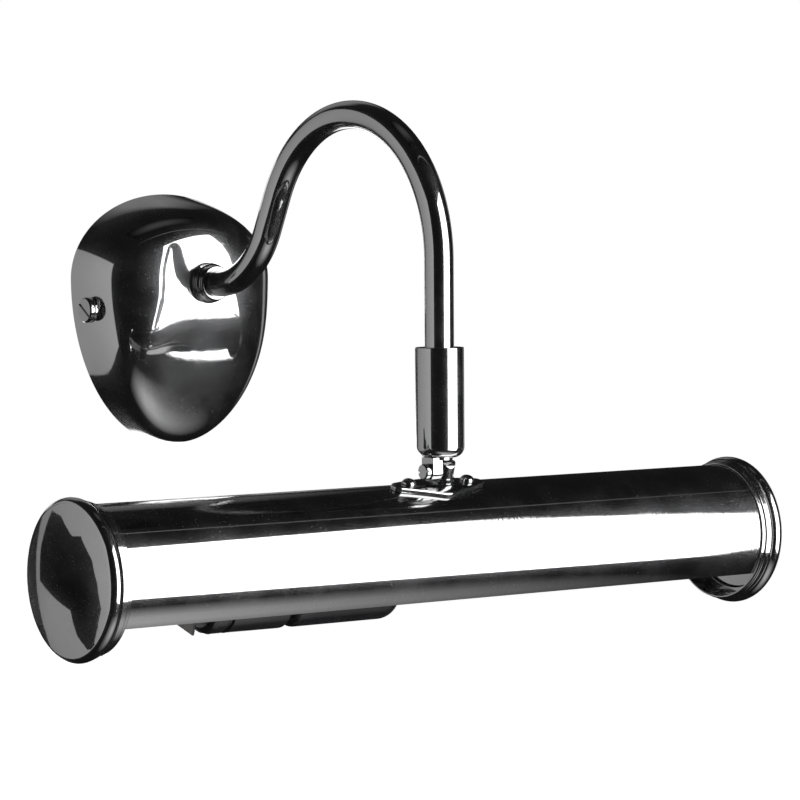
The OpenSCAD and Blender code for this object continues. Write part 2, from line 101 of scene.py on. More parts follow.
def rounded(corners, steps=5, closed=True):
    """An outline from (x, y, rounding radius) corners, each corner turned into a small arc."""
    points = []
    count = len(corners)
    for i, corner in enumerate(corners):
        here = Vector(corner[:2])
        size = corner[2] if len(corner) > 2 else 0
        at_end = not closed and i in (0, count - 1)
        if size <= 0 or at_end:
            points.append(tuple(here))
            continue
        before = Vector(corners[i - 1][:2]) - here
        after = Vector(corners[(i + 1) % count][:2]) - here
        angle = before.angle(after)
        reach = min(size / tan(angle / 2), 0.45 * before.length, 0.45 * after.length)
        start = here + before.normalized() * reach
        end = here + after.normalized() * reach
        for k in range(steps + 1):
            t = k / steps
            points.append(tuple(start * (1 - t) ** 2 + here * 2 * t * (1 - t) + end * t ** 2))
    return points


def add_piece(name, verts, faces, material, body, stands_for=(), place=None, sharp=32):
    """A mesh piece in the row frame that rides on a body and stands for CAD nodes."""
    mesh = bpy.data.meshes.new(name)
    mesh.from_pydata([tuple(v) for v in verts], [], faces)
    if place is not None:
        mesh.transform(place)
    work = bmesh.new()
    work.from_mesh(mesh)
    bmesh.ops.remove_doubles(work, verts=work.verts, dist=1e-7)
    bmesh.ops.dissolve_degenerate(work, edges=work.edges, dist=1e-8)
    bmesh.ops.recalc_face_normals(work, faces=work.faces)
    work.to_mesh(mesh)
    work.free()
    mesh.shade_smooth()
    mesh.set_sharp_from_angle(angle=radians(sharp))
    mesh.materials.append(material)
    piece = bpy.data.objects.new(name, mesh)
    scene.collection.objects.link(piece)
    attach(piece, body)
    if stands_for:
        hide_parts(*stands_for)
    return piece


def grid_faces(rings, sides, wrap_rings=False, wrap_sides=True):
    """Quads over a grid of rings with the same number of points."""
    faces = []
    for i in range(rings if wrap_rings else rings - 1):
        for j in range(sides if wrap_sides else sides - 1):
            k = (j + 1) % sides
            n = (i + 1) % rings
            faces.append((i * sides + j, i * sides + k, n * sides + k, n * sides + j))
    return faces


def turned(outline, axis="X", sides=ROUND_STEPS):
    """A closed (radius, distance) outline turned about an axis, as vertices and faces."""
    verts = []
    for radius, along in outline:
        for j in range(sides):
            a = 2 * pi * j / sides
            u, v = radius * cos(a), radius * sin(a)
            verts.append({"X": (along, u, v), "Y": (u, along, v), "Z": (u, v, along)}[axis])
    return verts, grid_faces(len(outline), sides, wrap_rings=True)


def boxes_mesh(boxes):
    """Vertices and faces of plain boxes, each (centre, half sizes, rotation matrix)."""
    verts, faces = [], []
    for centre, half, turn in boxes:
        base = len(verts)
        for sx, sy, sz in ((-1, -1, -1), (1, -1, -1), (1, 1, -1), (-1, 1, -1),
                           (-1, -1, 1), (1, -1, 1), (1, 1, 1), (-1, 1, 1)):
            verts.append(Vector(centre) + turn @ Vector((sx * half[0], sy * half[1], sz * half[2])))
        for face in ((0, 3, 2, 1), (4, 5, 6, 7), (0, 1, 5, 4),
                     (1, 2, 6, 5), (2, 3, 7, 6), (3, 0, 4, 7)):
            faces.append(tuple(base + f for f in face))
    return verts, faces


def cut(piece, verts, faces, place=None):
    """Cuts a mesh out of a piece, and leaves no modifier on it."""
    mesh = bpy.data.meshes.new("cutter")
    mesh.from_pydata([tuple(v) for v in verts], [], faces)
    if place is not None:
        mesh.transform(place)
    cutter = bpy.data.objects.new("cutter", mesh)
    scene.collection.objects.link(cutter)
    modifier = piece.modifiers.new("cut", "BOOLEAN")
    modifier.operation = "DIFFERENCE"
    modifier.solver = "EXACT"
    modifier.object = cutter
    apply_modifiers(piece)
    bpy.data.objects.remove(cutter)


def apply_modifiers(piece):
    """Makes a piece's modifiers part of its mesh."""
    graph = bpy.context.evaluated_depsgraph_get()
    done = bpy.data.meshes.new_from_object(piece.evaluated_get(graph))
    piece.modifiers.clear()
    piece.data = done


# -------------------------------------------------------------- materials

def new_material(name):
    """A node material and its shader, with the output already joined."""
    material = bpy.data.materials.new(name)
    material.use_nodes = True
    return material, material.node_tree, material.node_tree.nodes["Principled BSDF"]


def add_node(tree, kind, **inputs):
    """A node with some of its inputs set; names with _ stand for names with spaces."""
    node = tree.nodes.new(kind)
    for key, value in inputs.items():
        node.inputs[key.replace("_", " ")].default_value = value
    return node


def stretched(tree, scale, turn=(0, 0, 0)):
    """Object coordinates scaled along each axis, in repeats per metre."""
    place = add_node(tree, "ShaderNodeTexCoord")
    mapping = add_node(tree, "ShaderNodeMapping", Scale=scale, Rotation=turn)
    tree.links.new(place.outputs["Object"], mapping.inputs["Vector"])
    return mapping.outputs["Vector"]


def noise(tree, vector, scale=1.0, detail=3.0, roughness=0.55):
    """Noise on a vector, from 0 to 1."""
    node = add_node(tree, "ShaderNodeTexNoise", Scale=scale, Detail=detail, Roughness=roughness)
    tree.links.new(vector, node.inputs["Vector"])
    return node.outputs["Fac"]


def ramp(tree, value, stops):
    """A colour ramp; stops are (position, grey or colour)."""
    node = tree.nodes.new("ShaderNodeValToRGB")
    elements = node.color_ramp.elements
    while len(elements) < len(stops):
        elements.new(0.5)
    for element, (position, colour) in zip(elements, stops):
        element.position = position
        if not isinstance(colour, tuple):
            colour = (colour, colour, colour)
        element.color = (*colour, 1)
    tree.links.new(value, node.inputs["Fac"])
    return node.outputs["Color"]


def to_range(tree, value, low, high, out_low, out_high):
    """Maps a value from one range to another, and keeps it inside."""
    node = add_node(tree, "ShaderNodeMapRange")
    for name, number in (("From Min", low), ("From Max", high),
                         ("To Min", out_low), ("To Max", out_high)):
        node.inputs[name].default_value = number
    tree.links.new(value, node.inputs["Value"])
    return node.outputs["Result"]


def combine(tree, operation, a, b):
    """A maths node on two values; either may be a number."""
    node = tree.nodes.new("ShaderNodeMath")
    node.operation = operation
    for socket, value in zip(node.inputs, (a, b)):
        if isinstance(value, (int, float)):
            socket.default_value = value
        else:
            tree.links.new(value, socket)
    return node.outputs["Value"]


def bump(tree, height, distance, strength=1.0, normal=None):
    """Bump of a real height in metres."""
    node = add_node(tree, "ShaderNodeBump", Strength=strength, Distance=distance)
    tree.links.new(height, node.inputs["Height"])
    if normal is not None:
        tree.links.new(normal, node.inputs["Normal"])
    return node.outputs["Normal"]


def scratches(tree, scale, turn, width=0.012):
    """Fine hairlines: thin bands of a stretched noise, broken up by a second one."""
    lines = noise(tree, stretched(tree, scale, turn), detail=1.0)
    off_middle = combine(tree, "ABSOLUTE", combine(tree, "SUBTRACT", lines, 0.5), 0)
    thin = to_range(tree, off_middle, 0.0, width, 1.0, 0.0)
    patches = to_range(tree, noise(tree, stretched(tree, (40, 40, 40))), 0.5, 0.62, 0.0, 1.0)
    return combine(tree, "MULTIPLY", thin, patches)


def polished_metal(name, colour, grain, wave=0.5, handling=1.0, relief=0.022):
    """Black chrome: a mirror film over dark metal, with polishing grain, slow waves in the sheet,
    hairlines, specks of dust and a haze of handling. The film gives the sharp reflections and the
    metal below a soft veil round them. grain is the grain's scale along each axis, relief its
    height in mm."""
    material, tree, shader = new_material(name)
    links = tree.links
    shader.inputs["Metallic"].default_value = 1.0
    shader.inputs["Coat Weight"].default_value = 1.0
    shader.inputs["Coat IOR"].default_value = 4.2
    # the metal: slightly cloudy, hazy, more so in patches where it was handled
    cloud = noise(tree, stretched(tree, (32, 26, 30)), detail=5)
    darker = tuple(c * 0.72 for c in colour)
    lighter = tuple(min(1, c * 1.25) for c in colour)
    links.new(ramp(tree, cloud, [(0.35, darker), (0.65, lighter)]), shader.inputs["Base Color"])
    haze = to_range(tree, noise(tree, stretched(tree, (55, 40, 60)), detail=5, roughness=0.62),
                    0.42, 0.72, 0.0, 1.0)
    links.new(to_range(tree, haze, 0.0, 1.0, 0.26, 0.46), shader.inputs["Roughness"])
    # the film's gloss: haze, hairlines in two directions, and specks
    fine = scratches(tree, (90, 900, 500), (0.4, 0.2, 0.7))
    cross = scratches(tree, (800, 120, 300), (0.1, 0.9, -0.5))
    dots = noise(tree, stretched(tree, (2600, 2600, 2600)), detail=0)
    specks = to_range(tree, dots, 0.80, 0.85, 0.0, 1.0)
    rough = combine(tree, "ADD", combine(tree, "MULTIPLY", haze, 0.05 * handling), 0.02)
    rough = combine(tree, "ADD", rough, combine(tree, "MULTIPLY", fine, 0.12 * handling))
    rough = combine(tree, "ADD", rough, combine(tree, "MULTIPLY", cross, 0.08 * handling))
    rough = combine(tree, "ADD", rough, combine(tree, "MULTIPLY", specks, 0.30))
    links.new(rough, shader.inputs["Coat Roughness"])
    # form: slow waves in the sheet, then the polishing grain in patches
    slow = bump(tree, noise(tree, stretched(tree, (20, 30, 30)), detail=1), wave * 0.08 * MM, 0.6)
    grain_noise = noise(tree, stretched(tree, grain), detail=3)
    patch = to_range(tree, noise(tree, stretched(tree, (16, 12, 12)), detail=2), 0.4, 0.62, 0.15, 1.0)
    normal = bump(tree, combine(tree, "MULTIPLY", grain_noise, patch), relief * MM, 0.6, slow)
    links.new(normal, shader.inputs["Normal"])
    links.new(normal, shader.inputs["Coat Normal"])
    return material


def plated_steel(name, colour, rough_low, rough_high, grain=(700, 60, 60)):
    """Zinc- or nickel-plated steel: rolled grain, spangle in the colour and small dents."""
    material, tree, shader = new_material(name)
    links = tree.links
    shader.inputs["Metallic"].default_value = 1.0
    spangle = noise(tree, stretched(tree, (320, 320, 320)), detail=4, roughness=0.7)
    warm = (colour[0] * 1.06, colour[1] * 1.02, colour[2] * 0.92)
    cool = tuple(c * 0.84 for c in colour)
    links.new(ramp(tree, spangle, [(0.35, cool), (0.65, warm)]), shader.inputs["Base Color"])
    lines = noise(tree, stretched(tree, grain), detail=3)
    links.new(to_range(tree, lines, 0.3, 0.7, rough_low, rough_high), shader.inputs["Roughness"])
    normal = bump(tree, lines, 0.02 * MM, 0.5)
    dents = noise(tree, stretched(tree, (150, 150, 150)), detail=2)
    links.new(bump(tree, dents, 0.05 * MM, 0.35, normal), shader.inputs["Normal"])
    return material


def moulded(name, colour, rough, texture, height, coat=0.0):
    """Moulded plastic, rubber sheath or phenolic: mottled colour, moulded skin, worn gloss."""
    material, tree, shader = new_material(name)
    links = tree.links
    shader.inputs["Coat Weight"].default_value = coat
    shader.inputs["Coat Roughness"].default_value = 0.08
    mottle = noise(tree, stretched(tree, (110, 110, 110)), detail=4)
    darker = tuple(c * 0.82 for c in colour)
    lighter = tuple(min(1, c * 1.12) for c in colour)
    links.new(ramp(tree, mottle, [(0.3, darker), (0.7, lighter)]), shader.inputs["Base Color"])
    wear = noise(tree, stretched(tree, (60, 80, 60)), detail=5)
    links.new(to_range(tree, wear, 0.3, 0.75, rough * 0.8, rough * 1.35), shader.inputs["Roughness"])
    skin = noise(tree, stretched(tree, (texture, texture, texture)), detail=3)
    links.new(bump(tree, skin, height, 0.7), shader.inputs["Normal"])
    return material


def smoked_glass(name):
    """Dark smoked lamp glass: slow ripple of blown tube and a film of dust."""
    material, tree, shader = new_material(name)
    links = tree.links
    shader.inputs["IOR"].default_value = 1.5
    shader.inputs["Transmission Weight"].default_value = 0.55
    tint = noise(tree, stretched(tree, (45, 90, 90)), detail=2)
    links.new(ramp(tree, tint, [(0.3, (0.020, 0.020, 0.022)), (0.7, (0.045, 0.045, 0.048))]),
              shader.inputs["Base Color"])
    dust = noise(tree, stretched(tree, (240, 300, 300)), detail=5, roughness=0.7)
    links.new(to_range(tree, dust, 0.45, 0.8, 0.03, 0.16), shader.inputs["Roughness"])
    ripple = noise(tree, stretched(tree, (35, 70, 70)), detail=1)
    links.new(bump(tree, ripple, 0.08 * MM, 0.5), shader.inputs["Normal"])
    return material


sheet_chrome = polished_metal("black_chrome_sheet", (0.065, 0.065, 0.067), (1300, 180, 180),
                              wave=0.25, relief=0.05)
cap_chrome = polished_metal("black_chrome_pressed", (0.11, 0.11, 0.113), (420, 420, 420), wave=0.9)
dome_chrome = polished_metal("black_chrome_dome", (0.13, 0.131, 0.134), (260, 260, 260), wave=1.4)
arm_chrome = polished_metal("black_chrome_tube", (0.10, 0.10, 0.103), (500, 260, 260), wave=0.4)
turned_chrome = polished_metal("black_chrome_turned", (0.12, 0.121, 0.124), (240, 240, 1500),
                               wave=0.15, handling=0.6)
zinc = plated_steel("zinc_plate", (0.60, 0.61, 0.62), 0.22, 0.42)
spring_steel = plated_steel("spring_steel", (0.42, 0.42, 0.43), 0.18, 0.34)
brass = plated_steel("turned_brass", (0.80, 0.60, 0.26), 0.16, 0.34, grain=(200, 900, 900))
nickel = plated_steel("nickel_plate", (0.62, 0.60, 0.56), 0.12, 0.26)
ivory = moulded("ivory_polyamide", (0.80, 0.77, 0.68), 0.45, 1400, 0.02 * MM)
sheath = moulded("cable_sheath", (0.030, 0.030, 0.032), 0.48, 2200, 0.015 * MM)
phenolic = moulded("black_phenolic", (0.020, 0.020, 0.021), 0.20, 900, 0.010 * MM, coat=0.5)
glass = smoked_glass("smoked_glass")
dark_steel = plated_steel("blackened_steel", (0.16, 0.16, 0.165), 0.18, 0.36)
tungsten = plated_steel("drawn_wire", (0.38, 0.38, 0.40), 0.25, 0.45, grain=(120, 1600, 1600))


# ----------------------------------------------------------- shade pieces

def shade_shell():
    """Polished tube, open along its underside, with flat sheet edges."""
    half_round = radians(110)       # from the top to each lip
    inner_r = shade_r - shade_wall
    mid_r = shade_r - shade_wall / 2
    steps = 220
    lip_steps = 8
    section = []
    for i in range(steps + 1):
        a = -half_round + 2 * half_round * i / steps
        section.append((shade_r * sin(a), shade_r * cos(a)))
    for i in range(1, lip_steps):
        r = mid_r + cos(pi * i / lip_steps) * shade_wall / 2
        section.append((r * sin(half_round), r * cos(half_round)))
    for i in range(steps + 1):
        a = half_round - 2 * half_round * i / steps
        section.append((inner_r * sin(a), inner_r * cos(a)))
    for i in range(1, lip_steps):
        r = mid_r - cos(pi * i / lip_steps) * shade_wall / 2
        section.append((r * sin(-half_round), r * cos(-half_round)))
    lengths = 96
    verts = []
    for i in range(lengths + 1):
        x = -tube_half + 2 * tube_half * i / lengths
        verts += [(x, y, z) for y, z in section]
    count = len(section)
    faces = grid_faces(lengths + 1, count)
    faces.append(tuple(range(count)))
    faces.append(tuple(lengths * count + j for j in reversed(range(count))))
    return add_piece("shade_shell", verts, faces, sheet_chrome, "shade", ["shade_tube"], ON_SHADE)


def cap_outline():
    """Section of the pressed end cap: dome, step, rolled rim and the collar on the tube."""
    face = cap_tip - 4 * MM         # level of the rim's front
    rim_r = 3.2 * MM
    inner_r = 25 * MM               # the dome's inner face ends here
    edge_r = 29.7 * MM              # where the domed face runs into the rolled rim
    dome_rise = 4.24 * MM
    dome_r = edge_r ** 2 / (2 * dome_rise)
    centre = cap_tip - dome_r
    wall = 1 * MM
    seat = shade_r + 0.05 * MM
    tube_end = tube_half + 0.1 * MM
    steps = 48
    outer = [(edge_r * i / steps, centre + sqrt(dome_r ** 2 - (edge_r * i / steps) ** 2))
             for i in range(steps + 1)]
    rim = arc((cap_r - rim_r, face - 3.3 * MM), rim_r, 73, -52, 34)
    back = rounded([
        (seat + 2.3 * MM, face - 6.1 * MM, 0.4 * MM),
        (seat + 1.5 * MM, face - 6.5 * MM, 0.3 * MM),
        (seat + 1.5 * MM, cap_back + 2.0 * MM, 0.5 * MM),
        (seat + 0.8 * MM, cap_back + 1.6 * MM, 0.3 * MM),
        (seat + 0.8 * MM, cap_back, 0.35 * MM),
        (seat, cap_back, 0.2 * MM),
        (seat, tube_end, 0),
        (cap_r - rim_r - 3.1 * MM, tube_end, 0.3 * MM),
        (cap_r - rim_r - 3.1 * MM, face - 1.2 * MM, 0.2 * MM),
    ], closed=False)
    inner = []
    for i in range(steps + 1):
        r = inner_r * (1 - i / steps)
        inner.append((r, centre + sqrt((dome_r - wall) ** 2 - r ** 2)))
    return outer + rim + back + inner


def end_cap(name, side, node):
    """One end cap; side is 1 at the right and -1 at the left."""
    outline = [(r, side * x) for r, x in cap_outline()]
    sides = 192
    verts, faces = turned(outline, "X", sides)
    # the outline starts and ends on the axis, so nothing joins its two ends
    faces = [f for f in faces if f[0] // sides != len(outline) - 1]
    return add_piece(name, verts, faces, cap_chrome, "shade", [node], ON_SHADE)


def saddle():
    """Curved rhomb-shaped plate on the shade, with rounded edges all round."""
    low_r, high_r = shade_r + 0.02 * MM, shade_r + 2.1 * MM
    tip_x, tip_r, mid_r = 19.6 * MM, 3.4 * MM, 9 * MM
    spacing = 1.2 * MM              # between points along the outline
    edge = 0.55 * MM                # rounding of the upper edge
    thick = high_r - low_r
    # the sides of the rhomb touch a circle in the middle and one at each tip
    lean = (mid_r - tip_r) / tip_x
    outline = []
    for cx, radius, start, end, steps in ((tip_x, tip_r, -pi / 2 + lean, pi / 2 - lean, 28),
                                          (0, mid_r, pi / 2 - lean, pi / 2 + lean, 12),
                                          (-tip_x, tip_r, pi / 2 + lean, 3 * pi / 2 - lean, 28),
                                          (0, mid_r, 3 * pi / 2 - lean, 3 * pi / 2 + lean, 12)):
        for i in range(steps + 1):
            a = start + (end - start) * i / steps
            outline.append((cx + radius * cos(a), radius * sin(a)))
    even = []
    for i, (x, y) in enumerate(outline):
        nx, ny = outline[(i + 1) % len(outline)]
        parts = max(1, int(sqrt((nx - x) ** 2 + (ny - y) ** 2) / spacing))
        even += [(x + (nx - x) * k / parts, y + (ny - y) * k / parts) for k in range(parts)]

    def ring(scale, inward, radius):
        """The outline, scaled and moved inward, laid on a tube of that radius."""
        points = []
        for x, y in even:
            k = scale * (1 - inward / sqrt(x * x + y * y))
            points.append((x * k, y * k, sqrt(radius ** 2 - (y * k) ** 2)))
        return points

    # rings from the middle of the top, over the edge, to the middle of the underside
    rings = [ring(0.03 + 0.97 * i / 11, edge, high_r) for i in range(12)]
    for i in range(1, 7):
        a = pi / 2 * i / 6
        rings.append(ring(1, edge * (1 - sin(a)), high_r - edge * (1 - cos(a))))
    for i in range(1, 5):
        rings.append(ring(1, 0, high_r - edge - (thick - 1.4 * edge) * i / 4))
    for i in range(1, 12):
        rings.append(ring(1 - 0.97 * i / 11, 0, low_r))
    verts = [point for points in rings for point in points]
    count = len(even)
    faces = grid_faces(len(rings), count)
    faces.append(tuple(range(count)))
    faces.append(tuple((len(rings) - 1) * count + j for j in reversed(range(count))))
    return add_piece("saddle", verts, faces, turned_chrome, "shade", ["saddle_plate"], ON_SHADE)


def round_head_screws():
    """Two domed screws with cross recesses, through the saddle plate."""
    low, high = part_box("flange_screws")
    head_r, head_h = 2.95 * MM, 2.45 * MM
    head_side = 0.5 * MM            # straight side of the head, below its dome
    shank_r, shank_length = 1.5 * MM, 9.3 * MM
    spread = (high.x - low.x) / 2 - head_r
    seat = shade_r + 2.14 * MM      # on the saddle plate
    foot_z = seat - shank_length
    dome = [(head_r * cos(a), seat + head_side + (head_h - head_side) * sin(a))
            for a in [pi / 2 * i / 14 for i in range(14)]]
    outline = ([(1e-6, foot_z)] + rounded([(shank_r - 0.4 * MM, foot_z, 0.1 * MM),
               (shank_r, foot_z + 0.5 * MM, 0.1 * MM), (shank_r, seat, 0),
               (head_r - 0.1 * MM, seat, 0.1 * MM)], closed=False) + dome + [(1e-6, seat + head_h)])
    for side, turn in ((-1, 24), (1, -12)):
        verts, faces = turned(outline, "Z", SMALL_STEPS)
        place = ON_SHADE @ Matrix.Translation((side * spread, 0, 0))
        piece = add_piece("flange_screw_" + ("left" if side < 0 else "right"), verts, faces,
                          turned_chrome, "shade", ["flange_screws"], place)
        arms = [((0, 0, seat + head_h), (1.55 * MM, 0.36 * MM, 1.05 * MM),
                 Matrix.Rotation(radians(turn + quarter), 3, "Z")) for quarter in (0, 90)]
        for arm_box in arms:
            cut(piece, *boxes_mesh([arm_box]), place)
        finish_cut(piece)


def finish_cut(piece):
    """Smooth shading again after a cut."""
    piece.data.shade_smooth()
    piece.data.set_sharp_from_angle(angle=radians(32))


def pivot_pin():
    """Slotted pivot screw across the tilt joint."""
    r, head_r = 1.5 * MM, 3.3 * MM
    outline = [(1e-6, -9.2 * MM)] + rounded([
        (2.75 * MM, -9.2 * MM, 0.4 * MM), (head_r, -8.7 * MM, 0.4 * MM),
        (head_r, -6.55 * MM, 0.2 * MM), (r, -6.55 * MM, 0.1 * MM),
        (r, 5.7 * MM, 0.2 * MM), (r - 0.3 * MM, 6 * MM, 0)], closed=False) + [(1e-6, 6 * MM)]
    verts, faces = turned(outline, "X", SMALL_STEPS)
    place = ON_SHADE @ Matrix.Translation((0, 0, pivot_height))
    piece = add_piece("pivot_screw_slotted", verts, faces, turned_chrome, "shade",
                      ["pivot_screw"], place)
    slot = [((-9.2 * MM, 0, 0), (1.1 * MM, 5 * MM, 0.42 * MM), Matrix.Rotation(radians(-25), 3, "X"))]
    cut(piece, *boxes_mesh(slot), place)
    finish_cut(piece)


def lamp_holder():
    """Phenolic lampholder: base ring with a groove, then the long smooth skirt."""
    lamp_low, lamp_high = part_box("lampholder_shell")
    local_drop = (ON_SHADE.inverted() @ Vector((0, (lamp_low.y + lamp_high.y) / 2,
                                                (lamp_low.z + lamp_high.z) / 2))).z
    base_low, base_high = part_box("lampholder_base")
    r = 12.5 * MM
    back = base_high.x - 5.4 * MM
    place = ON_SHADE @ Matrix.Translation((back, 0, local_drop))
    stud_end = base_low.x - back
    base = [(1e-6, stud_end)] + rounded([
        (3.6 * MM, stud_end, 0.1 * MM), (4 * MM, stud_end + 0.4 * MM, 0.1 * MM),
        (4 * MM, -3.1 * MM, 0.1 * MM), (9.5 * MM, -3.1 * MM, 0.4 * MM),
        (r - 0.7 * MM, -2 * MM, 0.5 * MM),
        (r, 0, 0.3 * MM), (r, 4.5 * MM, 0.3 * MM), (r - 0.6 * MM, 5.38 * MM, 0.2 * MM)],
        closed=False) + [(1e-6, 5.38 * MM)]
    verts, faces = turned(base, "X", 128)
    holder = add_piece("lampholder_ring", verts, faces, phenolic, "shade", ["lampholder_base"], place)
    skirt_end = 34 * MM
    skirt = rounded([
        (2.4 * MM, 5.5 * MM, 0), (r - 1 * MM, 5.5 * MM, 0.2 * MM), (r - 1 * MM, 6.5 * MM, 0.3 * MM),
        (r, 7.3 * MM, 0.4 * MM), (r, skirt_end, 0.4 * MM), (r - 1.5 * MM, skirt_end, 0.3 * MM),
        (r - 1.6 * MM, skirt_end - 7.9 * MM, 0.2 * MM), (7.9 * MM, skirt_end - 7.9 * MM, 0.3 * MM),
        (7.9 * MM, 9 * MM, 0.1 * MM), (2.4 * MM, 9 * MM, 0)])
    verts, faces = turned(skirt, "X", 128)
    front = add_piece("lampholder_skirt", verts, faces, phenolic, "shade", ["lampholder_shell"], place)
    glass_tube(place, skirt_end)


def glass_tube(place, start):
    """Blown tubular glass of the lamp, with a rounded end and a real wall."""
    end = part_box("lamp_glass")[1].x - (place @ Vector((0, 0, 0))).x
    r, wall, tip = 12.5 * MM, 0.8 * MM, 8 * MM
    neck = 8.4 * MM

    def skin(inset):
        e = end - inset
        t = tip - inset
        rr = r - inset
        points = [(neck - inset, start + 0.05 * MM), (neck - inset, start + 0.6 * MM)]
        points += [(neck - inset + (rr - neck + inset) * (0.5 - 0.5 * cos(pi * k / 12)),
                    start + (0.6 + 5.9 * k / 12) * MM) for k in range(1, 13)]
        points += [(rr, start + 6.5 * MM + (e - t - start - 6.5 * MM) * k / 8) for k in range(1, 8)]
        points += [(rr - t + t * cos(pi / 2 * k / 12), e - t + t * sin(pi / 2 * k / 12))
                   for k in range(13)]
        points.append((1e-6, e))
        return points

    outline = skin(0) + list(reversed(skin(wall)))
    verts, faces = turned(outline, "X", 128)
    piece = add_piece("lamp_envelope", verts, faces, glass, "shade", ["lamp_glass"], place)


# ------------------------------------------------------- arm and fittings

def arm_path_points(y_start, z_end):
    """The arm's centre line from the wall side, over the arch and down, as (y, z) points."""
    arch_r = 60.5 * MM
    bend_r = 42.5 * MM
    slope = radians(63.5)
    straight = 16.5 * MM
    reach = pivot.y
    run_end = (reach + bend_r * sin(slope) + straight * cos(slope) + arch_r * (1 + sin(slope)))
    points = [(y_start + (run_end - y_start) * i / 10, arm_level) for i in range(10)]
    for i in range(41):
        a = slope * i / 40
        points.append((run_end - bend_r * sin(a), arm_level + bend_r * (1 - cos(a))))
    y, z = points[-1]
    for i in range(1, 8):
        points.append((y - straight * cos(slope) * i / 8, z + straight * sin(slope) * i / 8))
    y, z = y - straight * cos(slope), z + straight * sin(slope)
    centre_y, centre_z = reach + arch_r, z - arch_r * cos(slope)
    for i in range(141):
        a = pi / 2 - slope + (pi / 2 + slope) * i / 140
        points.append((centre_y + arch_r * cos(a), centre_z + arch_r * sin(a)))
    for i in range(1, 13):
        points.append((reach, centre_z + (z_end - centre_z) * i / 12))
    return points


def swan_neck():
    """The bent arm tube, with a wall, cut square inside the sleeve, and its thread in the canopy."""
    low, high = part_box("arm_tube")
    collar_face = collar_low.y + 7.3 * MM
    path = arm_path_points(collar_face, low.z)
    sides = 96
    outer = arm_r
    inner = outer - 1.6 * MM
    verts = []
    for radius in (outer, inner):
        for i, (y, z) in enumerate(path):
            before = path[max(0, i - 1)]
            after = path[min(len(path) - 1, i + 1)]
            along = Vector((0, after[0] - before[0], after[1] - before[1])).normalized()
            up = Vector((1, 0, 0)).cross(along)
            for j in range(sides):
                a = 2 * pi * j / sides
                verts.append(Vector((0, y, z)) + radius * (Vector((1, 0, 0)) * cos(a) + up * sin(a)))
    count = len(path)
    faces = grid_faces(count, sides)
    offset = count * sides
    faces += [tuple(offset + k for k in reversed(f)) for f in grid_faces(count, sides)]
    for ring in (0, count - 1):
        for j in range(sides):
            k = (j + 1) % sides
            a, b = ring * sides + j, ring * sides + k
            faces.append((a, b, offset + b, offset + a))
    arm = add_piece("swan_neck", verts, faces, arm_chrome, "root", ["arm_tube"])
    thread_r, pitch = 5 * MM, 1 * MM
    start, end = high.y, collar_face
    outline = [(inner, start), (thread_r - 0.6 * MM, start)]
    turns = int((start - end) / pitch)
    for i in range(turns):
        y = start - 0.3 * MM - i * (start - end - 0.3 * MM) / turns
        outline += [(thread_r, y - 0.1 * MM), (thread_r, y - 0.3 * MM),
                    (thread_r - 0.45 * MM, y - 0.6 * MM), (thread_r - 0.45 * MM, y - 0.7 * MM)]
    outline += [(thread_r - 0.2 * MM, end), (inner, end)]
    verts, faces = turned(outline, "Y", SMALL_STEPS)
    place = Matrix.Translation((0, 0, arm_level))
    thread = add_piece("arm_thread", verts, faces, zinc, "root", ["arm_tube"], place)


def collar():
    """Stepped, polished collar between the arm and the canopy."""
    base = collar_high.y
    steps = [(arm_r + 0.02 * MM, 0, 0.05), (9.0 * MM, 0, 0.15), (9.2 * MM, 0.8 * MM, 0.4),
             (9.0 * MM, 1.7 * MM, 0.2), (8.3 * MM, 1.95 * MM, 0.15), (8.3 * MM, 2.5 * MM, 0.15),
             (8.7 * MM, 2.8 * MM, 0.3), (8.7 * MM, 3.8 * MM, 0.3), (8.1 * MM, 4.3 * MM, 0.2),
             (7.6 * MM, 4.5 * MM, 0.15), (7.6 * MM, 5.2 * MM, 0.15), (7.9 * MM, 5.5 * MM, 0.3),
             (7.9 * MM, 6.6 * MM, 0.3), (7.3 * MM, 7.28 * MM, 0.3), (arm_r + 0.02 * MM, 7.28 * MM, 0.1)]
    outline = rounded([(r, base - y, size * MM) for r, y, size in steps])
    verts, faces = turned(outline, "Y", ROUND_STEPS)
    place = Matrix.Translation((0, 0, arm_level))
    piece = add_piece("collar", verts, faces, turned_chrome, "root", ["arm_collar"], place)


def sleeve_shell():
    """Sleeve on the arm's end, with a rounded lower end and a small chamfer on top."""
    z0, z1 = sleeve_low.z, sleeve_high.z
    r = sleeve_high.x
    round_r = 4.5 * MM
    outline = [(5.25 * MM, z0)] + arc((r - round_r, z0 + round_r), round_r, -90, 0, 20)
    outline += rounded([(r, z0 + 8 * MM, 0), (r, z1, 0.45 * MM), (arm_r + 0.03 * MM, z1, 0.25 * MM),
                        (arm_r + 0.03 * MM, z0 + 33 * MM, 0), (8 * MM, z0 + 33 * MM, 0),
                        (8 * MM, z0 + 3 * MM, 0), (5.25 * MM, z0 + 3 * MM, 0)], closed=False)
    verts, faces = turned(outline, "Z", ROUND_STEPS)
    place = Matrix.Translation((0, pivot.y, 0))
    piece = add_piece("sleeve_shell", verts, faces, arm_chrome, "root", ["sleeve"], place)


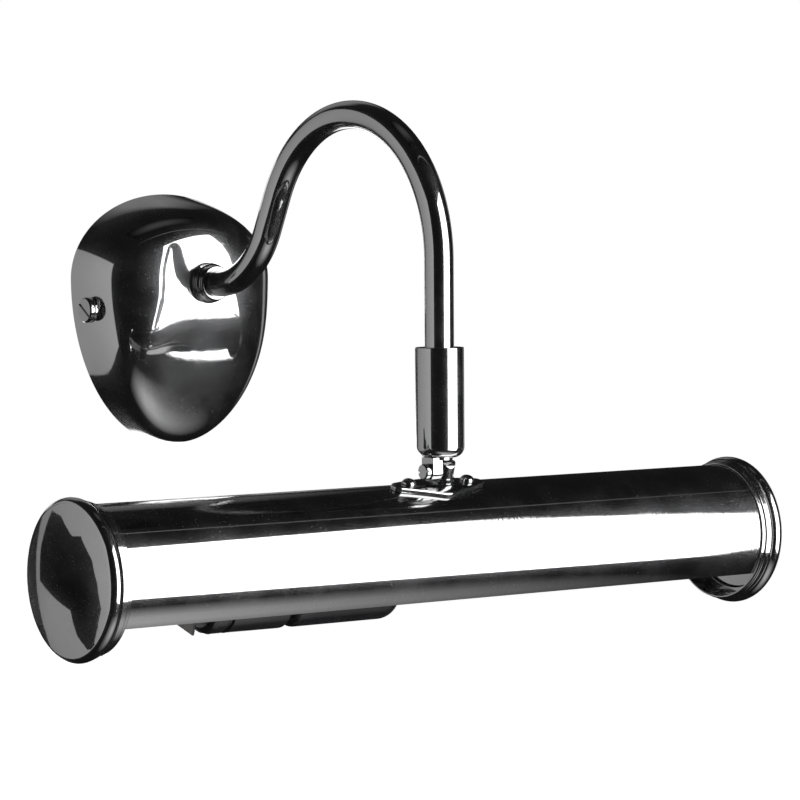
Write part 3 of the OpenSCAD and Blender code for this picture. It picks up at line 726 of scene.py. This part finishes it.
def canopy_shell():
    """Egg-shaped pressed dome, fuller at the bottom, open to the wall, with its real wall."""
    widest = 13.4 * MM
    half_w = canopy_high.x
    top = canopy_high.z - widest
    bottom = widest - canopy_low.z
    depth = canopy_high.y - canopy_low.y
    wall = 1.2 * MM
    sides = 220
    side_full, top_full, bottom_full = 2.9, 3.9, 9      # how far the side bulges to a square edge
    side_cone, top_cone = 0.1, 0.23                     # how much it narrows on its way out
    chin = 0.525                                        # how far the front falls back at the bottom

    def point(a, lift, inset):
        """A point of the dome: a round its front, lift from the wall to the middle of the front."""
        up = sin(a) >= 0
        across = cos(a) ** 2
        fullness = side_full * across + (top_full if up else bottom_full) * (1 - across)
        cone = side_cone * across + (top_cone if up else 0) * (1 - across)
        t = max(0.0, sin(lift)) ** (2 / fullness)
        k = max(0.0, cos(lift)) ** (2 / fullness) * (1 - cone * t)
        z = ((top if up else bottom) - inset) * sin(a) * k
        slope = chin * max(0.0, -z / bottom) ** 1.5
        return ((half_w - inset) * cos(a) * k, -(depth - inset) * t * (1 - slope), widest + z)

    def skin(rings, inset):
        """Rings of points from the wall to the front, closer together near both."""
        for i in range(rings + 1):
            s = i / rings
            lift = pi / 2 * s ** 3.2 / (s ** 3.2 + (1 - s) ** 3.2)
            yield [point(2 * pi * j / sides, min(lift, 0.99999 * pi / 2), inset) for j in range(sides)]

    outer = list(skin(110, 0))
    inner = list(skin(36, wall))
    rows = list(reversed(outer)) + inner
    verts = [p for row in rows for p in row]
    faces = grid_faces(len(rows), sides)
    faces.append(tuple(range(sides)))
    faces.append(tuple((len(rows) - 1) * sides + j for j in reversed(range(sides))))
    piece = add_piece("canopy_shell", verts, faces, dome_chrome, "root", ["canopy"], sharp=60)


def side_screw():
    """The canopy's slotted screw, with a grooved head."""
    low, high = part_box("canopy_screw")
    out, tip = low.x, high.x
    head_r = (high.y - low.y) / 2
    inner = out + 3.6 * MM
    outline = [(1e-6, out)] + rounded([
        (head_r - 0.6 * MM, out, 0.35 * MM), (head_r, out + 0.6 * MM, 0.3 * MM),
        (head_r, inner - 1.9 * MM, 0.2 * MM), (head_r - 0.6 * MM, inner - 1.65 * MM, 0.12 * MM),
        (head_r - 0.6 * MM, inner - 1.2 * MM, 0.12 * MM), (head_r, inner - 0.95 * MM, 0.2 * MM),
        (head_r, inner, 0.15 * MM), (2 * MM, inner, 0.1 * MM), (2 * MM, tip - 0.4 * MM, 0.2 * MM),
        (1.6 * MM, tip, 0)], closed=False) + [(1e-6, tip)]
    verts, faces = turned(outline, "X", 96)
    place = Matrix.Translation((0, (low.y + high.y) / 2, 0))
    piece = add_piece("canopy_screw_slotted", verts, faces, turned_chrome, "root",
                      ["canopy_screw"], place)
    slot = [((out, 0, 0), (1.2 * MM, 7 * MM, 0.6 * MM), Matrix.Rotation(radians(35), 3, "X"))]
    cut(piece, *boxes_mesh(slot), place)
    finish_cut(piece)


def dress_cad_nodes():
    """Gives every CAD node that stays its material and smooth shading, and rounds the edges of a few.
    """
    looks = {
        "yoke": turned_chrome, "foot": turned_chrome,
        "wall_bracket": zinc, "terminal_screws": nickel, "terminal_fixing_screw": nickel,
        "arm_washer": zinc, "arm_nut": zinc, "flange_nuts": zinc, "lamp_bracket": dark_steel,
        "lampholder_nut": zinc, "friction_washer": spring_steel,
        "earth_screw": brass, "earth_washer": brass, "arm_end_bush": brass,
        "screw_shell": brass, "centre_contact": brass, "lamp_cap": nickel,
        "terminal_block": ivory, "arm_cable": sheath, "lamp_leads": sheath, "lamp_filament": tungsten,
    }
    edges = {"wall_bracket": 0.25, "terminal_block": 0.3, "arm_nut": 0.25,
             "flange_nuts": 0.15, "lamp_bracket": 0.2, "lampholder_nut": 0.2}
    for name, material in looks.items():
        piece = nodes[name]
        piece.data.materials.clear()
        piece.data.materials.append(material)
        piece.data.shade_smooth()
        piece.data.set_sharp_from_angle(angle=radians(28))
        if name in edges:
            weld = piece.modifiers.new("weld", "WELD")
            weld.merge_threshold = 1e-6
            bevel = piece.modifiers.new("edge", "BEVEL")
            bevel.width = edges[name] * MM
            bevel.segments = 3
            bevel.limit_method = "ANGLE"
            bevel.angle_limit = radians(35)
            bevel.harden_normals = True


# ------------------------------------------------------------------ studio

MIDDLE = Vector((0, -0.2, -0.06))       # what the soft boxes stand round

def look_matrix(place, target, roll=0.0):
    """A matrix at place that looks along its -Z at target, with a roll in radians."""
    aim = (target - place).to_track_quat("-Z", "Y").to_matrix().to_4x4()
    return Matrix.Translation(place) @ aim @ Matrix.Rotation(roll, 4, "Z")


def direction(azimuth, elevation=0.0):
    """Unit vector from the object; azimuth 0 is straight out from the wall, 90 is +X."""
    a, e = radians(azimuth), radians(elevation)
    return Vector((sin(a) * cos(e), -cos(a) * cos(e), sin(e)))


def glow_material(name, strength, edge=0.05, fade=1.0):
    """Softbox cloth: falls off near its border, and by the factor fade from its left to right."""
    material = bpy.data.materials.new(name)
    material.use_nodes = True
    tree = material.node_tree
    tree.nodes.clear()
    place = tree.nodes.new("ShaderNodeTexCoord")
    parts = tree.nodes.new("ShaderNodeSeparateXYZ")
    tree.links.new(place.outputs["UV"], parts.inputs["Vector"])
    falloff = None
    for axis in ("X", "Y"):
        off = combine(tree, "ABSOLUTE", combine(tree, "SUBTRACT", parts.outputs[axis], 0.5), 0)
        part = to_range(tree, off, 0.5 - edge, 0.5, 1.0, 0.0)
        falloff = part if falloff is None else combine(tree, "MULTIPLY", falloff, part)
    slope = to_range(tree, parts.outputs["X"], 0.0, 1.0, 1.0, fade)
    falloff = combine(tree, "MULTIPLY", falloff, slope)
    light = tree.nodes.new("ShaderNodeEmission")
    tree.links.new(combine(tree, "MULTIPLY", falloff, strength), light.inputs["Strength"])
    out = tree.nodes.new("ShaderNodeOutputMaterial")
    tree.links.new(light.outputs["Emission"], out.inputs["Surface"])
    return material


def panel(name, centre, facing, width, height, material, seen=False):
    """An upright or tilted light sheet that faces along facing; the camera doesn't see it."""
    mesh = bpy.data.meshes.new(name)
    w, h = width / 2, height / 2
    mesh.from_pydata([(-w, -h, 0), (w, -h, 0), (w, h, 0), (-w, h, 0)], [], [(0, 1, 2, 3)])
    uv = mesh.uv_layers.new(name="sheet")
    for loop, corner in zip(uv.data, ((0, 0), (1, 0), (1, 1), (0, 1))):
        loop.uv = corner
    mesh.materials.append(material)
    sheet = bpy.data.objects.new(name, mesh)
    sheet.matrix_world = look_matrix(centre, centre - facing)
    scene.collection.objects.link(sheet)
    sheet.visible_camera = seen
    sheet.visible_shadow = False
    return sheet


def black_flag(cap_face):
    """Dark angular card close to the left cap, seen only as a shape in its domed face."""
    away = direction(-143)
    side = Vector((cos(radians(-143)), sin(radians(-143)), 0))
    corners = ((-0.60, 0.59), (-0.29, 0.60), (0.14, 0.46), (0.36, 0.50), (0.73, 0.25), (0.88, -0.08),
               (0.91, -0.45), (0.73, -0.67), (0.42, -0.92), (0.23, -0.90), (0.10, -0.70),
               (0.11, -0.39), (-0.69, -0.08), (-0.69, 0.25))
    distance = 0.1
    swing = radians(33)             # how far the domed face turns a reflection at its edge
    centre = cap_face + away * distance
    shrink = 0.86
    spread, rise, drop = 18 * MM, 30 * MM, 5 * MM
    verts = []
    for corner in corners:
        u, v = shrink * corner[0], shrink * corner[1]
        across = distance * tan(swing * u) + spread * u
        height = distance * tan(swing * v) + rise * v - drop
        verts.append(centre + side * across + Vector((0, 0, height)))
    mesh = bpy.data.meshes.new("black_flag")
    mesh.from_pydata(verts, [], [tuple(range(len(verts)))])
    mesh.materials.append(glow_material("flag_cloth", 0.03))
    card = bpy.data.objects.new("black_flag", mesh)
    scene.collection.objects.link(card)
    card.visible_camera = False
    card.visible_shadow = False
    card.visible_diffuse = False


def dark_world():
    """Almost black surroundings for the reflections."""
    world = bpy.data.worlds.new("studio")
    world.use_nodes = True
    background = world.node_tree.nodes["Background"]
    background.inputs["Color"].default_value = (1, 1, 1, 1)
    background.inputs["Strength"].default_value = 0.012
    scene.world = world


def pale_surroundings():
    """A white ball round everything, for the eye only: nothing reflects it."""
    pale = bpy.data.materials.new("pale_surroundings")
    pale.use_nodes = True
    tree = pale.node_tree
    tree.nodes.clear()
    light = add_node(tree, "ShaderNodeEmission", Color=(1, 1, 1, 1), Strength=1.0)
    out = tree.nodes.new("ShaderNodeOutputMaterial")
    tree.links.new(light.outputs["Emission"], out.inputs["Surface"])
    dome = bpy.data.meshes.new("surroundings")
    work = bmesh.new()
    bmesh.ops.create_icosphere(work, subdivisions=4, radius=12)
    work.to_mesh(dome)
    work.free()
    dome.materials.append(pale)
    surroundings = bpy.data.objects.new("surroundings", dome)
    scene.collection.objects.link(surroundings)
    for ray in ("visible_diffuse", "visible_glossy", "visible_transmission", "visible_shadow",
                "visible_volume_scatter"):
        setattr(surroundings, ray, False)


def pale_floor(floor_z):
    """Pale plain floor; seen from below it lets the view through."""
    paint, tree, shader = new_material("pale_floor")
    shader.inputs["Base Color"].default_value = (0.86, 0.86, 0.86, 1)
    shader.inputs["Roughness"].default_value = 0.9
    shader.inputs["Emission Color"].default_value = (1, 1, 1, 1)
    shader.inputs["Emission Strength"].default_value = 0.995
    side = tree.nodes.new("ShaderNodeNewGeometry")
    clear = tree.nodes.new("ShaderNodeBsdfTransparent")
    mix = tree.nodes.new("ShaderNodeMixShader")
    tree.links.new(side.outputs["Backfacing"], mix.inputs["Fac"])
    tree.links.new(shader.outputs["BSDF"], mix.inputs[1])
    tree.links.new(clear.outputs["BSDF"], mix.inputs[2])
    tree.links.new(mix.outputs["Shader"], tree.nodes["Material Output"].inputs["Surface"])
    floor = panel("floor", Vector((0, 0, floor_z)), Vector((0, 0, 1)), 16, 16, paint, seen=True)
    floor.visible_glossy = False
    floor.visible_diffuse = False


def soft_box(name, place, tilt, width, height, strength, edge, fade=1.0):
    """A sheet of light round the middle of the object. place is (azimuth, distance, rise); tilt is
    the elevation, in degrees, at which the sheet looks back."""
    azimuth, distance, rise = place
    centre = MIDDLE + direction(azimuth) * distance + Vector((0, 0, rise))
    cloth = glow_material(name + "_cloth", strength, edge, fade)
    panel(name, centre, -direction(azimuth, tilt), width, height, cloth)


def soft_boxes(floor_z):
    """Large soft lights; each one is there for the reflection it makes."""
    # grey glow low in front, seen along the lower side of the tube
    table = glow_material("table_grey", 0.75, edge=0.42)
    panel("table_glow", Vector((0.04, -0.40, floor_z + 0.02)), Vector((0, 0, 1)), 0.95, 0.56, table)
    # main softbox at the front right
    key_azimuth = 28
    key = glow_material("key_cloth", 5.5, edge=0.012)
    key_shift = direction(key_azimuth + 90) * 0.02
    panel("key_softbox", MIDDLE + direction(key_azimuth) * 0.9 - key_shift + Vector((0, 0, 0.165)),
          -direction(key_azimuth), 0.86, 1.33, key)
    # grey wall at the left and behind
    soft_box("left_wall", (-122, 1.3, 0.05), 0, 2.4, 1.6, 0.72, 0.02, fade=0.55)
    # sheets behind, seen along the top of the tube and the rim of the canopy
    soft_box("rim_strip", (168, 1.6, 0.30), 8, 1.5, 0.2, 1.5, 0.2)
    soft_box("back_sheet", (165, 1.5, 1.05), 25, 1.6, 1.0, 0.32, 0.25)
    # large sheet behind and below for the back; the pictured side has nothing that reflects it
    soft_box("behind_softbox", (164, 1.3, -0.35), -12, 0.8, 0.75, 2.2, 0.1)
    # weak sheet at the right, so that no side is lost
    soft_box("right_strip", (112, 1.5, 0), 0, 0.35, 1.4, 0.5, 0.25)
    # a thin line and a weak sheet overhead
    line = glow_material("line_cloth", 0.35, edge=0.3)
    panel("overhead_line", MIDDLE + Vector((0.35, -0.20, 0.72)), Vector((0, 0.25, -0.97)),
          1.5, 0.02, line)
    top = glow_material("top_cloth", 0.10, edge=0.4)
    panel("top_sheet", MIDDLE + Vector((0.1, 0.1, 1.3)), Vector((0, 0, -1)), 1.2, 0.5, top)


def studio():
    """Pale surroundings for the eye, dark ones for the reflections, and large soft boxes."""
    floor_z = cad_low.z - 0.42
    dark_world()
    pale_surroundings()
    pale_floor(floor_z)
    soft_boxes(floor_z)
    black_flag(Vector((-cap_tip, shade_axis.y, shade_axis.z)))


def camera():
    """Long lens at the left front, almost level."""
    azimuth, elevation, roll = -36.9, 2.95, -0.36
    distance, lens = 1.426, 156
    target = Vector((-0.006, -0.186, -0.035))
    place = target + direction(azimuth, elevation) * distance
    data = bpy.data.cameras.new("camera")
    data.lens = lens
    data.sensor_width = 36
    data.clip_end = 60
    eye = bpy.data.objects.new("camera", data)
    eye.matrix_world = look_matrix(place, target, radians(roll))
    scene.collection.objects.link(eye)
    scene.camera = eye


# ------------------------------------------------------------------- build

camera()
studio()
for piece in (shade_shell(), end_cap("left_cap", -1, "end_cap_left"),
              end_cap("right_cap", 1, "end_cap_right"), saddle()):
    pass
round_head_screws()
pivot_pin()
lamp_holder()
swan_neck()
collar()
sleeve_shell()
canopy_shell()
side_screw()
dress_cad_nodes()
scene.view_settings.view_transform = "Standard"
